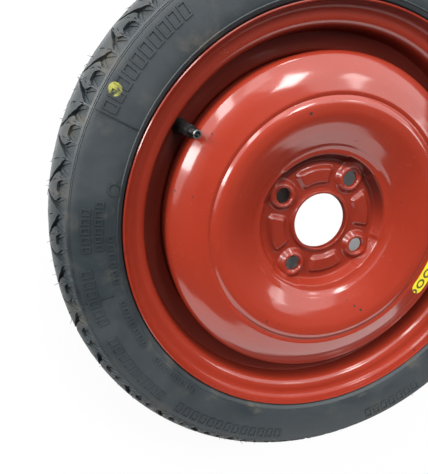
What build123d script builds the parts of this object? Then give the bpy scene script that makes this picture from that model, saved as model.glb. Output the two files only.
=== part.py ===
"""A temporary-use spare wheel: a narrow tyre on a welded steel wheel, with a snap-in valve.

Frame: the axle is +Z and points to the street side. The origin is on the axle, in the plane
of the hub face that bolts to the car. +X passes through the valve and one bolt hole.
"""

import os
from math import cos, pi, radians, sin, tan

from build123d import *

os.makedirs("parts", exist_ok=True)

# Rim: a rolled hoop with a drop centre
SEAT_D = 354.8  # bead seat diameter beside the flange
RIM_WIDTH = 88.9  # between the two flange walls
RIM_T = 2.2
OFFSET = 27.0  # from the hub face back to the rim's middle plane
FLANGE_H = 17.3  # flange top above the bead seat
LIP = 12.5  # flange lip out from the flange wall
CURL_R = 9.5  # where the flange curls into its lip
HEEL_R = 6.5  # where the seat turns into the flange
SEAT_LENGTH = 21.5  # flange wall to the edge of the drop centre
SEAT_FALL = 1.0  # taper of the seat over that length
WELL_DEPTH = 18.3
WELL_WIDTH = 28.0

# Disc: one pressing, from the hub face to the band that is welded into the rim
DISC_T = 3.2
BORE_D = 56.1
COLLAR_H = 6.6  # bore collar above the hub face
COLLAR_TOP_T = 2.2
COLLAR_FOOT_T = 4.6
PAN_R = 60.0  # flat hub pan
PAN_WALL_W = 5.5  # each of these runs starts where the one before it ends
PAN_WALL_RISE = 8.0
SHELF_W = 7.5
SHELF_RISE = 1.7
SHELF_WALL_W = 8.0
SHELF_WALL_RISE = 5.1
DISH_W = 36.0
DISH_RISE = 15.0
CREST_BEND_R = 12.0
CREST_STEP_W = 6.5
CREST_STEP_FALL = 2.6
SHOULDER_FALL = 11.0  # slope of the broad outer band, in degrees
SHOULDER_R = 19.5
BAND_LENGTH = 25.0  # welded band behind the hub face
BAND_FIT = 0.1  # disc band clear of the well

# Wheel bolts, and the raised pads between them
BOLT_PCD = 100.0
BOLT_COUNT = 4
BOLT_HOLE_D = 15.0
BOSS_FOOT_R = 14.0
BOSS_TOP_R = 10.2
BOSS_H = 4.6
NUT_SEAT_D = 17.5
NUT_SEAT_DEPTH = 2.2
PAD_IN_R = 41.5
PAD_OUT_R = 56.0
PAD_HALF_ANGLE = 21.0
PAD_H = 2.8
PAD_DRAFT = 42.0  # slope of the pads' sides, in degrees from upright

# Welds between the disc and the rim
WELD_COUNT = 8
WELD_LEG = 3.6
WELD_LENGTH = 42.0
WELD_FIT = 0.05

# Tyre
TYRE_D = 512.0
CROWN_FLAT = 46.0  # middle of the tread
RING_GROOVE_OUT = 17.0  # straight groove round the crown, from the middle plane
RING_GROOVE_W = 6.0
RING_GROOVE_DEPTH = 5.0
RING_GROOVE_DRAFT = 0.6
TREAD_WIDTH = 94.0
CROWN_DROP = 3.6
SHOULDER_DROP = 15.0  # shoulder's foot below the crown
SHOULDER_FOOT_OUT = 0.0  # shoulder's foot beyond the flange plane
SIDEWALL_EDGE = 0.25  # slope at either edge of the sidewall, as a share of its height
SIDEWALL_OUT = 5.6  # widest part beyond the flange plane
SIDEWALL_FOOT_RISE = 4.1  # sidewall's foot above the flange
SIDEWALL_FOOT_OUT = 3.0
TYRE_FIT = 0.15  # bead clear of the rim
BEAD_WIDTH = 14.0
BEAD_RISE = 8.6  # bead above its seat
TREAD_T = 10.5
SIDEWALL_T = 6.5
PITCHES = 35  # pairs of tread blocks in one turn
PITCH_START = 8.33  # first groove round the axle from the valve, in degrees
GROOVE_OPENING = 0.9  # width of a groove for each unit of its depth
GROOVE_BELOW = 0.8  # bottom of the grooves below the shoulder's foot
LONG_REACH = 32.0  # from the shoulder's foot in across the tread
LONG_SLANT = 38.0
SHORT_REACH = 22.0
SHORT_SLANT = -28.0
SHORT_PLACE = 0.67  # of a pitch after the long groove

# Valve, in its own frame: its axis leaves the well's street wall at right angles
VALVE_TILT = 13.5
VALVE_HOLE_D = 11.5
VALVE_EDGE = 0.4  # rubber skirt clear of the seat's underside
VALVE_FIT = 0.1  # rubber neck clear of the hole
SKIRT_FIT = 0.35  # rubber skirt and head clear of the rim's curved wall
BODY_LENGTH = 27.0  # rubber above the rim
THREAD_LENGTH = 12.0  # stem above the rubber
BODY_TOP_R = 4.9
SKIRT_R = 7.0
SKIRT_H = 2.4
HEAD_R = 8.0  # rubber head inside the tyre
HEAD_TIP_R = 5.8
HEAD_LENGTH = 9.0
STEM_R = 3.85
STEM_ROOT_R = 2.9
STEM_BORE_R = 2.15
STEM_FIT = 0.03
STEM_CHAMFER = 0.5
CORE_THREAD_R = 2.6
CORE_THREAD_LENGTH = 5.6
CORE_FIT = 0.06
PLUG_BELOW_END = 0.8
PLUG_ABOVE_SEAT = 0.2
PLUG_BRIDGE_W = 2.4
PLUG_BRIDGE_H = 1.7
PLUG_BORE_R = 1.05
BARREL_R = 1.75
BARREL_LENGTH = 8.5
BARREL_BORE_R = 1.35
BARREL_FLOOR_T = 1.0
GASKET_H = 1.4
PIN_R = 0.5
PIN_FIT = 0.08
PIN_BELOW_END = 0.3
COLLAR_R = 1.1
PIN_COLLAR_H = 0.5
PIN_COLLAR_DROP = 0.5
CUP_R = 1.75
CUP_H = 1.6
CUP_WALL = 0.35
CUP_SEAL_H = 0.7
SPRING_WIRE = 0.26
SPRING_R = 0.92
SPRING_TURNS = 5

# Label on the disc's outer band
LABEL_T = 0.25
LABEL_LENGTH = 62.0
LABEL_WIDTH = 15.0
LABEL_ANGLE = 190.0  # middle of the label round the axle from the valve
LABEL_FIT = 0.02
LABEL_EDGE = 1.0  # clear of the crest's step

# Places that several pieces share
seat_r = SEAT_D / 2
half_width = RIM_WIDTH / 2
flange_top_r = seat_r + FLANGE_H
lip_end = half_width + LIP
seat_end = half_width - SEAT_LENGTH
seat_end_r = seat_r - SEAT_FALL
well_r = seat_r - WELL_DEPTH
well_front = seat_end - (seat_end_r - well_r) * tan(radians(VALVE_TILT))
well_back = well_front - WELL_WIDTH
band_r = well_r - RIM_T - BAND_FIT
tyre_r = TYRE_D / 2
valve_length = BODY_LENGTH + THREAD_LENGTH


def bent(corners, bends):
    """The points of a pressed section: each corner between straight runs becomes one flat, as long as
    the chord of a bend of the given radius. A radius of 0 leaves the corner sharp."""
    points = [Vector(*corners[0])]
    for before, corner, after, radius in zip(corners, corners[1:], corners[2:], bends):
        here = Vector(*corner)
        back = (Vector(*before) - here).normalized()
        ahead = (Vector(*after) - here).normalized()
        cut = radius / tan(radians(back.get_angle(ahead)) / 2)
        points.extend([here + back * cut, here + ahead * cut] if radius else [here])
    points.append(Vector(*corners[-1]))
    return points


def sheet(side, thickness):
    """The outline of a sheet: the given side, and the other side a thickness to the right of it."""
    runs = [(b - a).normalized() for a, b in zip(side, side[1:])]
    across = [Vector(run.Y, -run.X) for run in runs]
    other = [side[0] + across[0] * thickness]
    for corner, one, two in zip(side[1:], across, across[1:]):
        other.append(corner + (one + two) * (thickness / (1 + one.dot(two))))
    other.append(side[-1] + across[-1] * thickness)
    return side + other[::-1]


# Valve frame: origin where the axis leaves the rim's street side
valve_lean = radians(VALVE_TILT)
valve_r = seat_end_r - RIM_T - (SKIRT_R + VALVE_EDGE) * cos(valve_lean)
valve_wall_r = valve_r + RIM_T * sin(valve_lean)
valve_wall = seat_end - (seat_end_r - valve_wall_r) * tan(valve_lean)
valve_plane = Plane(
    origin=(valve_r, 0, valve_wall + RIM_T * cos(valve_lean) - OFFSET),
    x_dir=(0, 1, 0),
    z_dir=(-sin(valve_lean), 0, cos(valve_lean)),
)
valve_section = Plane(origin=valve_plane.origin, x_dir=valve_plane.x_dir, z_dir=-valve_plane.y_dir)
valve_axis = Axis(valve_plane.origin, valve_plane.z_dir)

# Rim, drawn along its tyre side from the street lip to the inboard lip
rim_corners = [
    (flange_top_r, lip_end - OFFSET),
    (flange_top_r, half_width - OFFSET),
    (seat_r, half_width - OFFSET),
    (seat_end_r, seat_end - OFFSET),
    (well_r, well_front - OFFSET),
    (well_r, well_back - OFFSET),
    (seat_end_r, -seat_end - OFFSET),
    (seat_r, -half_width - OFFSET),
    (flange_top_r, -half_width - OFFSET),
    (flange_top_r, -lip_end - OFFSET),
]
with BuildPart() as rim:
    with BuildSketch(Plane.XZ):
        with BuildLine():
            tyre_side = bent(rim_corners, [CURL_R, HEEL_R, 0, 0, 0, 0, HEEL_R, CURL_R])
            Polyline(*sheet(tyre_side, RIM_T), close=True)
        make_face()
    revolve(axis=Axis.Z)
    with BuildSketch(valve_plane):
        Circle(VALVE_HOLE_D / 2)
    extrude(amount=2 * RIM_T, both=True, mode=Mode.SUBTRACT)
rim.part.label = "rim"
export_step(rim.part, "parts/rim.step")

# Disc, drawn along its street side from the bore to the welded band
disc_corners = [(BORE_D / 2, DISC_T), (PAN_R, DISC_T)]
for run, rise in (
    (PAN_WALL_W, PAN_WALL_RISE),
    (SHELF_W, SHELF_RISE),
    (SHELF_WALL_W, SHELF_WALL_RISE),
    (DISH_W, DISH_RISE),
    (CREST_STEP_W, -CREST_STEP_FALL),
):
    disc_corners.append((disc_corners[-1][0] + run, disc_corners[-1][1] + rise))
crest_step_r, crest_step_h = disc_corners[-1]
shoulder_corner_h = crest_step_h - (band_r - crest_step_r) * tan(radians(SHOULDER_FALL))
disc_corners += [(band_r, shoulder_corner_h), (band_r, -BAND_LENGTH)]
collar_r = BORE_D / 2
with BuildPart() as disc:
    with BuildSketch(Plane.XZ):
        with BuildLine():
            street_side = bent(disc_corners, [0, 0, 0, 0, CREST_BEND_R, 0, SHOULDER_R])
            Polyline(*sheet(street_side, DISC_T), close=True)
        make_face()
        with BuildLine():
            Polyline(
                (collar_r, 0),
                (collar_r + COLLAR_FOOT_T, 0),
                (collar_r + COLLAR_FOOT_T, DISC_T),
                (collar_r + COLLAR_TOP_T, COLLAR_H),
                (collar_r, COLLAR_H),
                close=True,
            )
        make_face()
    revolve(axis=Axis.Z)
    with PolarLocations(BOLT_PCD / 2, BOLT_COUNT):
        with Locations((0, 0, DISC_T)):
            Cone(BOSS_FOOT_R, BOSS_TOP_R, BOSS_H, align=(Align.CENTER, Align.CENTER, Align.MIN))
    pad_planes = [Plane.XY.rotated((0, 0, 360 / BOLT_COUNT * (k + 0.5))) for k in range(BOLT_COUNT)]
    with BuildSketch(*[plane.offset(DISC_T) for plane in pad_planes]):
        with BuildLine():
            pad_reach = PAD_HALF_ANGLE
            outer_edge = CenterArc((0, 0), PAD_OUT_R, -pad_reach, 2 * pad_reach)
            inner_edge = CenterArc((0, 0), PAD_IN_R, -pad_reach, 2 * pad_reach)
            Line(outer_edge @ 0, inner_edge @ 0)
            Line(outer_edge @ 1, inner_edge @ 1)
        make_face()
    extrude(amount=PAD_H, taper=PAD_DRAFT)
    with BuildSketch(*pad_planes):
        with BuildLine():
            outer_edge = CenterArc((0, 0), PAD_OUT_R - DISC_T / 2, -pad_reach, 2 * pad_reach)
            inner_edge = CenterArc((0, 0), PAD_IN_R + DISC_T / 2, -pad_reach, 2 * pad_reach)
            Line(outer_edge @ 0, inner_edge @ 0)
            Line(outer_edge @ 1, inner_edge @ 1)
        make_face()
    extrude(amount=PAD_H, taper=PAD_DRAFT, mode=Mode.SUBTRACT)
    with PolarLocations(BOLT_PCD / 2, BOLT_COUNT):
        Cylinder(BOLT_HOLE_D / 2, 4 * (DISC_T + BOSS_H), mode=Mode.SUBTRACT)
        with Locations((0, 0, DISC_T + BOSS_H)):
            Cone(
                BOLT_HOLE_D / 2,
                NUT_SEAT_D / 2,
                NUT_SEAT_DEPTH,
                align=(Align.CENTER, Align.CENTER, Align.MAX),
                mode=Mode.SUBTRACT,
            )
        Cone(
            BOSS_FOOT_R - DISC_T / 2,
            BOLT_HOLE_D / 2,
            BOSS_H,
            align=(Align.CENTER, Align.CENTER, Align.MIN),
            mode=Mode.SUBTRACT,
        )
disc.part.label = "disc"
export_step(disc.part, "parts/disc.step")

# Welds, short fillets behind the disc's band
weld_arc = 360 * WELD_LENGTH / (2 * pi * band_r)
with BuildPart() as weld:
    with BuildSketch(Plane.XZ):
        with BuildLine():
            weld_r = well_r - RIM_T - WELD_FIT
            weld_z = -BAND_LENGTH - WELD_FIT
            Polyline((weld_r, weld_z), (weld_r - WELD_LEG, weld_z), (weld_r, weld_z - WELD_LEG), close=True)
        make_face()
    revolve(axis=Axis.Z, revolution_arc=weld_arc)
with BuildPart() as weld_beads:
    with PolarLocations(0, WELD_COUNT, start_angle=180 / WELD_COUNT - weld_arc / 2):
        add(weld.part)
weld_beads.part.label = "weld_beads"
export_step(weld_beads.part, "parts/weld_beads.step")

# Tyre section: one half, from the crown to the bead and back along the lining
shoulder_foot_r = tyre_r - SHOULDER_DROP
sidewall_foot_r = flange_top_r + SIDEWALL_FOOT_RISE
sidewall_edge = (shoulder_foot_r - sidewall_foot_r) * SIDEWALL_EDGE
bead_corners = [
    (sidewall_foot_r, lip_end + SIDEWALL_FOOT_OUT),
    (flange_top_r + TYRE_FIT, lip_end - TYRE_FIT),
    (flange_top_r + TYRE_FIT, half_width - TYRE_FIT),
    (seat_r + TYRE_FIT, half_width - TYRE_FIT),
    (seat_r + TYRE_FIT - SEAT_FALL * BEAD_WIDTH / SEAT_LENGTH, half_width - BEAD_WIDTH),
]
lining_out = lip_end + SIDEWALL_OUT - SIDEWALL_T
ring_in = RING_GROOVE_OUT - RING_GROOVE_W / 2
ring_out = RING_GROOVE_OUT + RING_GROOVE_W / 2
half_section = [
    (tyre_r, ring_in),
    (tyre_r - RING_GROOVE_DEPTH, ring_in + RING_GROOVE_DRAFT),
    (tyre_r - RING_GROOVE_DEPTH, ring_out - RING_GROOVE_DRAFT),
    (tyre_r, ring_out),
    (tyre_r, CROWN_FLAT / 2),
    (tyre_r - CROWN_DROP, TREAD_WIDTH / 2),
    (shoulder_foot_r, lip_end + SHOULDER_FOOT_OUT),
    (shoulder_foot_r - sidewall_edge, lip_end + SIDEWALL_OUT),
    (sidewall_foot_r + sidewall_edge, lip_end + SIDEWALL_OUT),
    *[tuple(p)[:2] for p in bent(bead_corners, [0, CURL_R, HEEL_R])],
    (seat_r + BEAD_RISE, half_width - BEAD_WIDTH),
    (sidewall_foot_r + sidewall_edge - SIDEWALL_T / 2, lining_out),
    (shoulder_foot_r - sidewall_edge, lining_out),
    (tyre_r - TREAD_T, TREAD_WIDTH / 2 - TREAD_T),
]
other_half = [(r, -u) for r, u in reversed(half_section)]

# One pitch of the tread: a long and a short groove that lean towards each other, each a V that is
# deepest at the shoulder's foot and runs out on the crown, on both sides
groove_foot = Vector(shoulder_foot_r - GROOVE_BELOW, 0, lip_end + SHOULDER_FOOT_OUT)
groove_depth = 2 * SHOULDER_DROP
groove_half = groove_depth * GROOVE_OPENING / 2
with BuildPart() as pitch_cut:
    for reach, slant, place in ((LONG_REACH, LONG_SLANT, 0), (SHORT_REACH, SHORT_SLANT, SHORT_PLACE)):
        run_out = Vector(tyre_r, reach * tan(radians(slant)), groove_foot.Z - reach)
        along = (run_out - groove_foot).normalized()
        mouth = Plane(origin=groove_foot - along * groove_half, x_dir=(0, 1, 0), z_dir=along)
        turn = PITCH_START + 360 / PITCHES * place
        with BuildSketch(Plane(Location((0, 0, 0), (0, 0, turn)) * mouth.location)):
            with BuildLine():
                Polyline((0, 0), (-groove_half, groove_depth), (groove_half, groove_depth), close=True)
            make_face()
        extrude(amount=reach * 2)
    mirror(about=Plane.XY)

with BuildPart() as tyre:
    with BuildSketch(Plane.XZ):
        with BuildLine():
            Polyline(*half_section, *other_half, close=True)
        make_face()
    revolve(axis=Axis.Z)
    with PolarLocations(0, PITCHES):
        add(pitch_cut.part, mode=Mode.SUBTRACT)
tyre.part.position = (0, 0, -OFFSET)
tyre.part.label = "tyre"
export_step(tyre.part, "parts/tyre.step")

# Valve: a rubber body that snaps into the rim, with a brass stem moulded into it
hole_r = VALVE_HOLE_D / 2
head_top = -RIM_T - SKIRT_FIT
with BuildPart() as valve_body:
    with BuildSketch(valve_section):
        with BuildLine():
            Polyline(
                (STEM_ROOT_R, head_top - HEAD_LENGTH),
                (HEAD_TIP_R, head_top - HEAD_LENGTH),
                (HEAD_R, head_top),
                (hole_r - VALVE_FIT, head_top),
                (hole_r - VALVE_FIT, SKIRT_FIT),
                (SKIRT_R, SKIRT_FIT),
                (SKIRT_R, SKIRT_H),
                (hole_r - VALVE_FIT, 2 * SKIRT_H),
                (BODY_TOP_R, BODY_LENGTH),
                (STEM_ROOT_R, BODY_LENGTH),
                close=True,
            )
        make_face()
    revolve(axis=valve_axis)
valve_body.part.label = "valve_body"
export_step(valve_body.part, "parts/valve_body.step")

core_seat = valve_length - CORE_THREAD_LENGTH
with BuildPart() as valve_stem:
    with BuildSketch(valve_section):
        with BuildLine():
            Polyline(
                (STEM_BORE_R, head_top - HEAD_LENGTH),
                (STEM_ROOT_R - STEM_FIT, head_top - HEAD_LENGTH),
                (STEM_ROOT_R - STEM_FIT, BODY_LENGTH + STEM_FIT),
                (STEM_R, BODY_LENGTH + STEM_FIT),
                (STEM_R, valve_length - STEM_CHAMFER),
                (STEM_R - STEM_CHAMFER, valve_length),
                (CORE_THREAD_R, valve_length),
                (CORE_THREAD_R, core_seat),
                (STEM_BORE_R, core_seat - CORE_THREAD_R + STEM_BORE_R),
                close=True,
            )
        make_face()
    revolve(axis=valve_axis)
valve_stem.part.label = "valve_stem"
export_step(valve_stem.part, "parts/valve_stem.step")

# Valve core: a threaded plug with a bridge for the key, and a barrel that hangs below it
plug_top = valve_length - PLUG_BELOW_END
plug_foot = valve_length - CORE_THREAD_LENGTH + PLUG_ABOVE_SEAT
with BuildPart() as core_plug:
    with BuildSketch(valve_plane.offset(plug_foot)):
        Circle(CORE_THREAD_R - CORE_FIT)
        Circle(PLUG_BORE_R, mode=Mode.SUBTRACT)
    extrude(amount=plug_top - plug_foot)
    with BuildSketch(valve_plane.offset(plug_top - PLUG_BRIDGE_H)):
        Circle(CORE_THREAD_R)
        Rectangle(PLUG_BRIDGE_W, 2 * CORE_THREAD_R, mode=Mode.SUBTRACT)
    extrude(amount=PLUG_BRIDGE_H, mode=Mode.SUBTRACT)
core_plug.part.label = "core_plug"
export_step(core_plug.part, "parts/core_plug.step")

barrel_top = plug_foot - CORE_FIT
barrel_foot = barrel_top - BARREL_LENGTH
with BuildPart() as core_barrel:
    with BuildSketch(valve_plane.offset(barrel_foot)):
        Circle(BARREL_R)
        Circle(PIN_R + PIN_FIT, mode=Mode.SUBTRACT)
    extrude(amount=BARREL_LENGTH)
    with BuildSketch(valve_plane.offset(barrel_foot + BARREL_FLOOR_T)):
        Circle(BARREL_BORE_R)
    extrude(amount=BARREL_LENGTH, mode=Mode.SUBTRACT)
core_barrel.part.label = "core_barrel"
export_step(core_barrel.part, "parts/core_barrel.step")

gasket_top = core_seat - CORE_THREAD_R + STEM_BORE_R - CORE_FIT
with BuildPart() as core_gasket:
    with BuildSketch(valve_plane.offset(gasket_top - GASKET_H)):
        Circle(STEM_BORE_R - CORE_FIT)
        Circle(BARREL_R + CORE_FIT, mode=Mode.SUBTRACT)
    extrude(amount=GASKET_H)
core_gasket.part.label = "core_gasket"
export_step(core_gasket.part, "parts/core_gasket.step")

# The pin, its cup and the cup's seal move together: pressing the pin opens the seal under the barrel
pin_top = valve_length - PIN_BELOW_END
collar_top = barrel_top - PIN_COLLAR_DROP
collar_foot = collar_top - PIN_COLLAR_H
seal_top = barrel_foot - PIN_FIT
cup_top = seal_top - CUP_SEAL_H / 2
cup_foot = cup_top - CUP_H
with BuildPart() as core_pin:
    with BuildSketch(valve_plane.offset(cup_foot)):
        Circle(PIN_R)
    extrude(amount=pin_top - cup_foot)
    with BuildSketch(valve_plane.offset(collar_foot)):
        Circle(COLLAR_R)
    extrude(amount=PIN_COLLAR_H)
core_pin.part.label = "core_pin"
export_step(core_pin.part, "parts/core_pin.step")

with BuildPart() as core_cup:
    with BuildSketch(valve_plane.offset(cup_foot)):
        Circle(CUP_R)
        Circle(PIN_R + PIN_FIT / 2, mode=Mode.SUBTRACT)
    extrude(amount=CUP_H)
    with BuildSketch(valve_plane.offset(cup_top)):
        Circle(CUP_R - CUP_WALL)
    extrude(amount=-CUP_SEAL_H / 2, mode=Mode.SUBTRACT)
core_cup.part.label = "core_cup"
export_step(core_cup.part, "parts/core_cup.step")

with BuildPart() as cup_seal:
    with BuildSketch(valve_plane.offset(seal_top)):
        Circle(CUP_R - CUP_WALL - PIN_FIT / 2)
        Circle(PIN_R + PIN_FIT / 2, mode=Mode.SUBTRACT)
    extrude(amount=-CUP_SEAL_H)
cup_seal.part.label = "cup_seal"
export_step(cup_seal.part, "parts/cup_seal.step")

spring_foot = barrel_foot + BARREL_FLOOR_T + SPRING_WIRE / 2 + CORE_FIT / 2
spring_rise = collar_foot - SPRING_WIRE / 2 - CORE_FIT / 2 - spring_foot
spring_base = valve_plane.offset(spring_foot)
with BuildPart() as core_spring:
    with BuildLine():
        coil = Helix(
            pitch=spring_rise / SPRING_TURNS,
            height=spring_rise,
            radius=SPRING_R,
            center=spring_base.origin,
            direction=spring_base.z_dir,
        )
    with BuildSketch(Plane(origin=coil @ 0, x_dir=spring_base.z_dir, z_dir=coil % 0)):
        Rectangle(SPRING_WIRE, SPRING_WIRE)
    sweep(path=coil, is_frenet=True)
core_spring.part.label = "core_spring"
export_step(core_spring.part, "parts/core_spring.step")

# Label, a thin sheet that lies on the cone of the disc's outer band
band_slope = radians(SHOULDER_FALL)
label_mid_r = crest_step_r + LABEL_EDGE + LABEL_WIDTH / 2 * cos(band_slope)
label_mid_h = crest_step_h - (label_mid_r - crest_step_r) * tan(band_slope)
label_out = Vector(cos(band_slope), -sin(band_slope))
label_up = Vector(sin(band_slope), cos(band_slope))
label_middle = Vector(label_mid_r, label_mid_h)
label_low = label_middle + label_up * LABEL_FIT
label_high = label_low + label_up * LABEL_T
label_half = label_out * (LABEL_WIDTH / 2)
label_sweep = 360 * LABEL_LENGTH / (2 * pi * label_mid_r)
label_start = Plane.XZ.rotated((0, 0, LABEL_ANGLE - label_sweep / 2))
with BuildPart() as yellow_label:
    with BuildSketch(label_start):
        with BuildLine():
            Polyline(
                label_low - label_half,
                label_low + label_half,
                label_high + label_half,
                label_high - label_half,
                close=True,
            )
        make_face()
    revolve(axis=Axis.Z, revolution_arc=label_sweep)
yellow_label.part.label = "yellow_label"
export_step(yellow_label.part, "parts/yellow_label.step")
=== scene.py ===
# %% Load the frame
import math

import bmesh
import bpy
import numpy as np
from mathutils import Matrix, Vector


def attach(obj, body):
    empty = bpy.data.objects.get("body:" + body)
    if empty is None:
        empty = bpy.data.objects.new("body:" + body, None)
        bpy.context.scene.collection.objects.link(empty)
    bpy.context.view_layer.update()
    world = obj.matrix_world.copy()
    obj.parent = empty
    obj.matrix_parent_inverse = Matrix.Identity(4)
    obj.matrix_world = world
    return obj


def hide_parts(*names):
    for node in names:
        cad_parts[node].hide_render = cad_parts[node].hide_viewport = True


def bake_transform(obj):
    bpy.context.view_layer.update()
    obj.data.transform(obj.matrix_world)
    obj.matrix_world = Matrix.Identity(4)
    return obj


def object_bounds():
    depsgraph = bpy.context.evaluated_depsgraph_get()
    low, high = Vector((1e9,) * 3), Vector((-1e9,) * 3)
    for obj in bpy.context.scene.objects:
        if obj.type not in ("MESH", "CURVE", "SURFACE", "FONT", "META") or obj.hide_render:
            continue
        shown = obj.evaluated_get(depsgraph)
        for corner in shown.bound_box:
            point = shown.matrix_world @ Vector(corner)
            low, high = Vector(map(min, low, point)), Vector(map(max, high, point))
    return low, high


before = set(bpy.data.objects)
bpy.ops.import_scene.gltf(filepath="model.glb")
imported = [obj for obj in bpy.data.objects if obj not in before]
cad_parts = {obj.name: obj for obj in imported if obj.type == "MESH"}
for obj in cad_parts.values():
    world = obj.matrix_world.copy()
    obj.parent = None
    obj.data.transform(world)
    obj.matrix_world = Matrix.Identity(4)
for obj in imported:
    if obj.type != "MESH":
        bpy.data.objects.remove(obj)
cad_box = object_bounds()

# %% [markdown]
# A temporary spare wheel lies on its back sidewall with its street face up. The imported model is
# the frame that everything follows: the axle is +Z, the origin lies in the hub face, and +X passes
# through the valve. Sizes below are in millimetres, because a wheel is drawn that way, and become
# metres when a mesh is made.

MM = 0.001
FLANGE_Z = 29.95  # street edge of the rim
MIDDLE_Z = -27.0  # middle plane of the rim and the tyre
FLOOR_Z = cad_box[0][2]


def at(r, angle, z):
    """Point at a radius, an angle round the axle and a height."""
    return r * math.cos(angle), r * math.sin(angle), z


def new_object(name, data):
    """An object of that data, linked to the scene."""
    thing = bpy.data.objects.new(name, data)
    bpy.context.scene.collection.objects.link(thing)
    return thing


print("frame:", len(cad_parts), "nodes, box", [round(v, 3) for v in (*cad_box[0], *cad_box[1])])

# %% [markdown]
# The camera comes first, because every later choice is judged through it. It stands to one side of
# the axle and looks down at the street face. A wide lens close to the wheel gives the strong
# perspective, so the near tyre wall looks much broader than the far one.

# %% Camera
VIEW_TURN = math.radians(-150.4)  # from the picture's upright to the valve's direction
CAMERA_PLACE = Vector((-217.71, 97.62, 349.67))
CAMERA_RIGHT = Vector((0.96330, 0.07579, 0.25755))
CAMERA_DOWN = Vector((-0.00242, -0.95686, 0.29064))
CAMERA_AHEAD = Vector((0.26844, -0.28060, -0.92155))
SENSOR = 36.0
PICTURE_HEIGHT = 474
FOCAL_PIXELS = 432.16

turn = Matrix.Rotation(VIEW_TURN, 3, "Z")
camera_data = bpy.data.cameras.new("camera")
camera_data.sensor_width = SENSOR
camera_data.lens = FOCAL_PIXELS / PICTURE_HEIGHT * SENSOR
camera_data.clip_start = 0.01
camera = new_object("camera", camera_data)
axes = [turn @ CAMERA_RIGHT, turn @ -CAMERA_DOWN, turn @ -CAMERA_AHEAD]
camera_place = (turn @ CAMERA_PLACE + Vector((0, 0, FLANGE_Z))) * MM
camera.matrix_world = Matrix.Translation(camera_place) @ Matrix(axes).transposed().to_4x4()
bpy.context.scene.camera = camera
print("camera at", [round(v, 3) for v in camera_place], "lens", round(camera_data.lens, 2))

# %% [markdown]
# Round parts are turned: a closed section is drawn in radius and height and carried round the axle.
# Sheet metal never has a sharp corner, so a section starts as a few straight runs, and each corner
# is rounded with its bend radius.

# %% Sections
NEARLY_STRAIGHT = 0.01


def spun(v, angle):
    """A flat vector turned by an angle."""
    c, s = math.cos(angle), math.sin(angle)
    return Vector((v.x * c - v.y * s, v.x * s + v.y * c))


def rounded(corners, radii, step=8.0):
    """Points of a section: each inner corner becomes an arc, with a point for every `step` degrees."""
    points = [Vector(corners[0])]
    for before, corner, after, radius in zip(corners, corners[1:], corners[2:], radii):
        here = Vector(corner)
        back = (Vector(before) - here).normalized()
        ahead = (Vector(after) - here).normalized()
        half = back.angle(ahead) / 2
        sweep = math.pi - 2 * half
        if sweep < NEARLY_STRAIGHT:
            points.append(here)
            continue
        centre = here + (back + ahead).normalized() * (radius / math.sin(half))
        first = here + back * (radius / math.tan(half)) - centre
        side = 1 if first.x * ahead.y - first.y * ahead.x > 0 else -1
        count = max(2, round(math.degrees(sweep) / step))
        points += [centre + spun(first, side * sweep * k / count) for k in range(count + 1)]
    points.append(Vector(corners[-1]))
    return points


def divided(points, longest):
    """The same line with points added, so that no run is longer than `longest`."""
    out = [points[0]]
    for a, b in zip(points, points[1:]):
        count = max(1, math.ceil((b - a).length / longest))
        out.extend(a.lerp(b, k / count) for k in range(1, count + 1))
    return out


def normals(points):
    """Unit normals of an open line, to the left of its direction."""
    out = []
    for k in range(len(points)):
        run = points[min(k + 1, len(points) - 1)] - points[max(k - 1, 0)]
        out.append(Vector((-run.y, run.x)).normalized())
    return out


def sheet_loop(line, thickness, end_steps=4):
    """Closed section of a sheet: the line is its left side, and both ends are rounded."""
    other = [p - n * thickness for p, n in zip(line, normals(line))]
    loop = list(line)
    for tip, across in ((len(line) - 1, 1), (0, -1)):
        middle = (line[tip] + other[tip]) / 2
        arm = (line[tip] - other[tip]) / 2 * across
        loop += [middle + spun(arm, -math.pi * k / end_steps) for k in range(1, end_steps)]
        if tip:
            loop.extend(reversed(other))
    return loop


print("a right angle bent to 5 mm has", len(rounded([(0, 0), (9, 0), (9, 9)], [5.0])) - 2, "points")

# %% [markdown]
# A mesh made from lists of points needs the same finish each time: doubles merged, normals turned
# outwards, smooth shading that stops at real edges. Holes are cut with a Boolean, as a drill would,
# and the modifier is used up at once so that a plain mesh is left.

# %% Meshes and lathe
DOUBLES = 1e-7


def mend(mesh):
    """Merges doubles, turns the normals outwards and returns how many edges stay open."""
    work = bmesh.new()
    work.from_mesh(mesh)
    bmesh.ops.remove_doubles(work, verts=work.verts, dist=DOUBLES)
    bmesh.ops.recalc_face_normals(work, faces=work.faces)
    open_edges = sum(1 for e in work.edges if not e.is_manifold)
    work.to_mesh(mesh)
    work.free()
    return open_edges


def shade(mesh, sharp):
    """Smooth shading, with the edges kept sharp that bend by more than an angle in degrees."""
    mesh.shade_smooth()
    mesh.set_sharp_from_angle(angle=math.radians(sharp))


def finish_mesh(name, vertices, faces, sharp=40.0, frame_of=None):
    """A smooth object at the origin from points in millimetres, with its normals outwards."""
    mesh = bpy.data.meshes.new(name)
    mesh.from_pydata([tuple(v) for v in vertices], [], faces)
    mesh.transform(Matrix.Scale(MM, 4))
    if frame_of is not None:
        mesh.transform(frame_of)
    mend(mesh)
    shade(mesh, sharp)
    return new_object(name, mesh)


def ring_faces(rows, columns):
    """Quads of a closed loop of `rows` points that is carried round in `columns` steps."""
    faces = []
    for c in range(columns):
        d = (c + 1) % columns
        for k in range(rows):
            m = (k + 1) % rows
            faces.append((c * rows + k, d * rows + k, d * rows + m, c * rows + m))
    return faces


def lathe(name, loop, columns, **rest):
    """Turns a closed section of (radius, height) about the axle."""
    angles = [math.tau * c / columns for c in range(columns)]
    vertices = [at(p.x, a, p.y) for a in angles for p in loop]
    return finish_mesh(name, vertices, ring_faces(len(loop), columns), **rest)


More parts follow.
